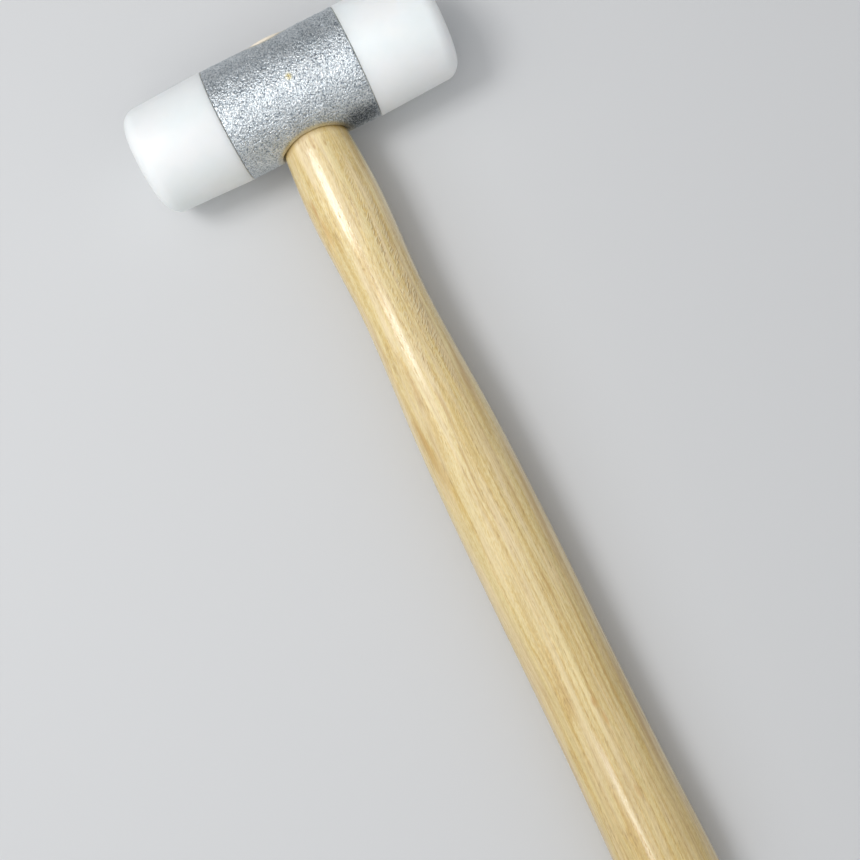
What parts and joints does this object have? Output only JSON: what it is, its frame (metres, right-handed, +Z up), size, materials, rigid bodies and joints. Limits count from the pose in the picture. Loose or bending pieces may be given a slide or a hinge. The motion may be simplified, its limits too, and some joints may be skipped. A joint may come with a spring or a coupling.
{
  "type": "soft-face hammer",
  "caption": "Soft-face hammer for body work: a rough-cast, zinc-plated housing with white screw-in nylon faces on an oval, lacquered ash handle.",
  "frame": {"origin": "on the surface that the hammer lies on, below the middle of its outline", "axes": "+X along the head towards the right face, +Y from the butt to the head, +Z up"},
  "size_m": [0.1, 0.3016, 0.0353],
  "materials": {
    "housing": "rough as cast, bright zinc plated",
    "nylon": "satin, milky white",
    "steel": "rolled thread, lightly oiled",
    "ash": "clear gloss lacquer along the grain",
    "wedge_wood": "sawn and sanded end"
  },
  "bodies": {
    "frame": {"head_housing": "housing", "handle": "ash", "wood_wedge": "wedge_wood", "ring_wedge": "steel"},
    "left_screw": {"left_stud": "steel"},
    "left_head": {"left_face": "nylon"},
    "right_screw": {"right_stud": "steel"},
    "right_head": {"right_face": "nylon"}
  },
  "joints": [
    {"name": "left_face_travel", "type": "slide", "parent": "frame", "child": "left_screw", "axis": [-1, 0, 0], "range_m": [0, 0.0105]},
    {"name": "left_face_turn", "type": "hinge", "parent": "left_screw", "child": "left_head", "pos_m": [-0.036, 0.13315, 0.01765], "axis": [-1, 0, 0], "range_deg": [0, 2160]},
    {"name": "right_face_travel", "type": "slide", "parent": "frame", "child": "right_screw", "axis": [1, 0, 0], "range_m": [0, 0.0105]},
    {"name": "right_face_turn", "type": "hinge", "parent": "right_screw", "child": "right_head", "pos_m": [0.036, 0.13315, 0.01765], "axis": [1, 0, 0], "range_deg": [0, 2160]}
  ],
  "couplings": [
    {"joint": "left_face_travel", "follows": "left_face_turn", "m_per_rad": 0.00027852},
    {"joint": "right_face_travel", "follows": "right_face_turn", "m_per_rad": 0.00027852}
  ]
}
